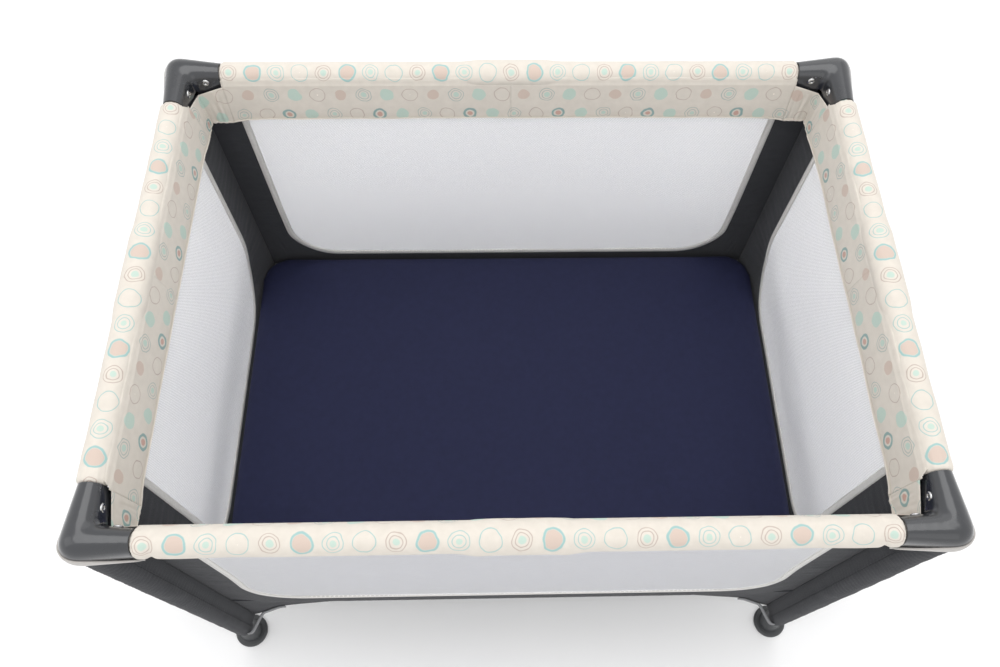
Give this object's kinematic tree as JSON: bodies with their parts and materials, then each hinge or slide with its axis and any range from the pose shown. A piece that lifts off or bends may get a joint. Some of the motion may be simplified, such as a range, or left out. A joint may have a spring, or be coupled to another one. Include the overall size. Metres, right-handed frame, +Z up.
{
  "type": "folding playpen",
  "caption": "Rectangular folding playpen with padded printed top rails, moulded corner covers, net side panels, a fitted mattress pad and round feet.",
  "frame": {"origin": "centre of the footprint, on the ground under the feet", "axes": "+X along the length, +Y along the width, +Z up"},
  "size_m": [1.008, 0.729, 0.727],
  "materials": {
    "leg_enamel": "satin",
    "cover_plastic": "semi-gloss, fine grain",
    "base_plastic": "satin",
    "rivet_metal": "polished",
    "foot_plastic": "satin",
    "panel_fabric": "woven polyester with net windows",
    "floor_enamel": "satin",
    "hub_plastic": "satin",
    "webbing": "woven webbing",
    "rail_steel": "zinc plated",
    "print_fabric": "printed woven fabric over padding",
    "latch_plastic": "satin",
    "button_plastic": "satin",
    "floor_fabric": "woven polyester",
    "sheet_fabric": "knitted cotton fitted sheet"
  },
  "bodies": {
    "leg_front_left": {"leg_tube_front_left": "leg_enamel", "corner_cover_front_left": "cover_plastic", "corner_base_front_left": "base_plastic", "corner_rivets_front_left": "rivet_metal", "foot_front_left": "foot_plastic", "side_panel_front": "panel_fabric", "side_panel_left": "panel_fabric"},
    "leg_front_right": {"leg_tube_front_right": "leg_enamel", "corner_cover_front_right": "cover_plastic", "corner_base_front_right": "base_plastic", "corner_rivets_front_right": "rivet_metal", "foot_front_right": "foot_plastic", "side_panel_right": "panel_fabric"},
    "leg_back_right": {"leg_tube_back_right": "leg_enamel", "corner_cover_back_right": "cover_plastic", "corner_base_back_right": "base_plastic", "corner_rivets_back_right": "rivet_metal", "foot_back_right": "foot_plastic"},
    "leg_back_left": {"leg_tube_back_left": "leg_enamel", "corner_cover_back_left": "cover_plastic", "corner_base_back_left": "base_plastic", "corner_rivets_back_left": "rivet_metal", "foot_back_left": "foot_plastic", "side_panel_back": "panel_fabric"},
    "floor_arm_front_left": {"floor_tube_front_left": "floor_enamel"},
    "floor_arm_front_right": {"floor_tube_front_right": "floor_enamel"},
    "floor_arm_back_right": {"floor_tube_back_right": "floor_enamel"},
    "floor_arm_back_left": {"floor_tube_back_left": "floor_enamel"},
    "hub": {"hub": "hub_plastic", "hub_foot": "hub_plastic", "hub_strap": "webbing"},
    "rail_front_left": {"rail_tube_front_left": "rail_steel", "rail_sleeve_front_left": "print_fabric"},
    "rail_front_right": {"rail_tube_front_right": "rail_steel", "rail_sleeve_front_right": "print_fabric"},
    "latch_front": {"latch_housing_front": "latch_plastic"},
    "button_front": {"latch_button_front": "button_plastic"},
    "rail_back_left": {"rail_tube_back_left": "rail_steel", "rail_sleeve_back_left": "print_fabric"},
    "rail_back_right": {"rail_tube_back_right": "rail_steel", "rail_sleeve_back_right": "print_fabric"},
    "latch_back": {"latch_housing_back": "latch_plastic"},
    "button_back": {"latch_button_back": "button_plastic"},
    "rail_left_front": {"rail_tube_left_front": "rail_steel", "rail_sleeve_left_front": "print_fabric"},
    "rail_left_back": {"rail_tube_left_back": "rail_steel", "rail_sleeve_left_back": "print_fabric"},
    "latch_left": {"latch_housing_left": "latch_plastic"},
    "button_left": {"latch_button_left": "button_plastic"},
    "rail_right_front": {"rail_tube_right_front": "rail_steel", "rail_sleeve_right_front": "print_fabric"},
    "rail_right_back": {"rail_tube_right_back": "rail_steel", "rail_sleeve_right_back": "print_fabric"},
    "latch_right": {"latch_housing_right": "latch_plastic"},
    "button_right": {"latch_button_right": "button_plastic"},
    "floor_front": {"floor_front": "floor_fabric"},
    "floor_back": {"floor_back": "floor_fabric"},
    "mattress": {"mattress": "sheet_fabric"}
  },
  "joints": [
    {"name": "fold", "type": "hinge", "parent": "leg_front_left", "child": "floor_arm_front_left", "pos_m": [-0.44559, -0.29324, 0.206], "axis": [0.5497, -0.8353, 0], "range_deg": [0, 85], "deforming": ["side_panel_front", "side_panel_back", "side_panel_left", "side_panel_right"]},
    {"name": "hub_level", "type": "hinge", "parent": "floor_arm_front_left", "child": "hub", "pos_m": [-0.03759, -0.02474, 0.206], "axis": [-0.5497, 0.8353, 0], "range_deg": [0, 85]},
    {"name": "floor_arm_swing_front_right", "type": "hinge", "parent": "hub", "child": "floor_arm_front_right", "pos_m": [0.03759, -0.02474, 0.206], "axis": [0.5497, 0.8353, 0], "range_deg": [0, 85]},
    {"name": "leg_upright_front_right", "type": "hinge", "parent": "floor_arm_front_right", "child": "leg_front_right", "pos_m": [0.44559, -0.29324, 0.206], "axis": [-0.5497, -0.8353, 0], "range_deg": [0, 85]},
    {"name": "floor_arm_swing_back_right", "type": "hinge", "parent": "hub", "child": "floor_arm_back_right", "pos_m": [0.03759, 0.02474, 0.206], "axis": [-0.5497, 0.8353, 0], "range_deg": [0, 85]},
    {"name": "leg_upright_back_right", "type": "hinge", "parent": "floor_arm_back_right", "child": "leg_back_right", "pos_m": [0.44559, 0.29324, 0.206], "axis": [0.5497, -0.8353, 0], "range_deg": [0, 85]},
    {"name": "floor_arm_swing_back_left", "type": "hinge", "parent": "hub", "child": "floor_arm_back_left", "pos_m": [-0.03759, 0.02474, 0.206], "axis": [-0.5497, -0.8353, 0], "range_deg": [0, 85]},
    {"name": "leg_upright_back_left", "type": "hinge", "parent": "floor_arm_back_left", "child": "leg_back_left", "pos_m": [-0.44559, 0.29324, 0.206], "axis": [0.5497, 0.8353, 0], "range_deg": [0, 85]},
    {"name": "rail_drop_front_left", "type": "hinge", "parent": "leg_front_left", "child": "rail_front_left", "pos_m": [-0.438, -0.3365, 0.702], "axis": [0, 1, 0], "range_deg": [0, 85]},
    {"name": "latch_level_front", "type": "hinge", "parent": "rail_front_left", "child": "latch_front", "pos_m": [-0.03, -0.3365, 0.702], "axis": [0, -1, 0], "range_deg": [0, 85]},
    {"name": "rail_drop_front_right", "type": "hinge", "parent": "latch_front", "child": "rail_front_right", "pos_m": [0.03, -0.3365, 0.702], "axis": [0, -1, 0], "range_deg": [0, 85]},
    {"name": "button_press_front", "type": "slide", "parent": "latch_front", "child": "button_front", "axis": [0, 0, 1], "range_m": [0, 0.006], "stiffness_N_per_m": 400, "springref_m": -0.004},
    {"name": "rail_drop_back_left", "type": "hinge", "parent": "leg_back_left", "child": "rail_back_left", "pos_m": [-0.438, 0.3365, 0.702], "axis": [0, 1, 0], "range_deg": [0, 85]},
    {"name": "latch_level_back", "type": "hinge", "parent": "rail_back_left", "child": "latch_back", "pos_m": [-0.03, 0.3365, 0.702], "axis": [0, -1, 0], "range_deg": [0, 85]},
    {"name": "rail_drop_back_right", "type": "hinge", "parent": "latch_back", "child": "rail_back_right", "pos_m": [0.03, 0.3365, 0.702], "axis": [0, -1, 0], "range_deg": [0, 85]},
    {"name": "button_press_back", "type": "slide", "parent": "latch_back", "child": "button_back", "axis": [0, 0, 1], "range_m": [0, 0.006], "stiffness_N_per_m": 400, "springref_m": -0.004},
    {"name": "rail_drop_left_front", "type": "hinge", "parent": "leg_front_left", "child": "rail_left_front", "pos_m": [-0.476, -0.2985, 0.702], "axis": [-1, 0, 0], "range_deg": [0, 85]},
    {"name": "latch_level_left", "type": "hinge", "parent": "rail_left_front", "child": "latch_left", "pos_m": [-0.476, -0.03, 0.702], "axis": [1, 0, 0], "range_deg": [0, 85]},
    {"name": "rail_drop_left_back", "type": "hinge", "parent": "latch_left", "child": "rail_left_back", "pos_m": [-0.476, 0.03, 0.702], "axis": [1, 0, 0], "range_deg": [0, 85]},
    {"name": "button_press_left", "type": "slide", "parent": "latch_left", "child": "button_left", "axis": [0, 0, 1], "range_m": [0, 0.006], "stiffness_N_per_m": 400, "springref_m": -0.004},
    {"name": "rail_drop_right_front", "type": "hinge", "parent": "leg_front_right", "child": "rail_right_front", "pos_m": [0.476, -0.2985, 0.702], "axis": [-1, 0, 0], "range_deg": [0, 85]},
    {"name": "latch_level_right", "type": "hinge", "parent": "rail_right_front", "child": "latch_right", "pos_m": [0.476, -0.03, 0.702], "axis": [1, 0, 0], "range_deg": [0, 85]},
    {"name": "rail_drop_right_back", "type": "hinge", "parent": "latch_right", "child": "rail_right_back", "pos_m": [0.476, 0.03, 0.702], "axis": [1, 0, 0], "range_deg": [0, 85]},
    {"name": "button_press_right", "type": "slide", "parent": "latch_right", "child": "button_right", "axis": [0, 0, 1], "range_m": [0, 0.006], "stiffness_N_per_m": 400, "springref_m": -0.004},
    {"name": "floor_lift_front", "type": "hinge", "parent": "leg_front_left", "child": "floor_front", "pos_m": [0, -0.332, 0.219], "axis": [1, 0, 0], "range_deg": [0, 85], "deforming": ["floor_front"]},
    {"name": "floor_lift_back", "type": "hinge", "parent": "leg_back_left", "child": "floor_back", "pos_m": [0, 0.332, 0.219], "axis": [-1, 0, 0], "range_deg": [0, 85], "deforming": ["floor_back"]},
    {"name": "mattress_lift", "type": "slide", "parent": "hub", "child": "mattress", "axis": [0, 0, 1], "range_m": [0, 0.5416], "deforming": ["mattress"]}
  ],
  "couplings": [
    {"joint": "hub_level", "follows": "fold", "ratio": 1},
    {"joint": "floor_arm_swing_front_right", "follows": "fold", "ratio": 1},
    {"joint": "leg_upright_front_right", "follows": "fold", "ratio": 1},
    {"joint": "floor_arm_swing_back_right", "follows": "fold", "ratio": 1},
    {"joint": "leg_upright_back_right", "follows": "fold", "ratio": 1},
    {"joint": "floor_arm_swing_back_left", "follows": "fold", "ratio": 1},
    {"joint": "leg_upright_back_left", "follows": "fold", "ratio": 1},
    {"joint": "rail_drop_front_left", "follows": "fold", "ratio": 1},
    {"joint": "latch_level_front", "follows": "fold", "ratio": 1},
    {"joint": "rail_drop_front_right", "follows": "fold", "ratio": 1},
    {"joint": "rail_drop_back_left", "follows": "fold", "ratio": 1},
    {"joint": "latch_level_back", "follows": "fold", "ratio": 1},
    {"joint": "rail_drop_back_right", "follows": "fold", "ratio": 1},
    {"joint": "rail_drop_left_front", "follows": "fold", "ratio": 1},
    {"joint": "latch_level_left", "follows": "fold", "ratio": 1},
    {"joint": "rail_drop_left_back", "follows": "fold", "ratio": 1},
    {"joint": "rail_drop_right_front", "follows": "fold", "ratio": 1},
    {"joint": "latch_level_right", "follows": "fold", "ratio": 1},
    {"joint": "rail_drop_right_back", "follows": "fold", "ratio": 1},
    {"joint": "floor_lift_front", "follows": "fold", "ratio": 1},
    {"joint": "floor_lift_back", "follows": "fold", "ratio": 1},
    {"joint": "mattress_lift", "follows": "fold", "m_per_rad": 0.365}
  ]
}
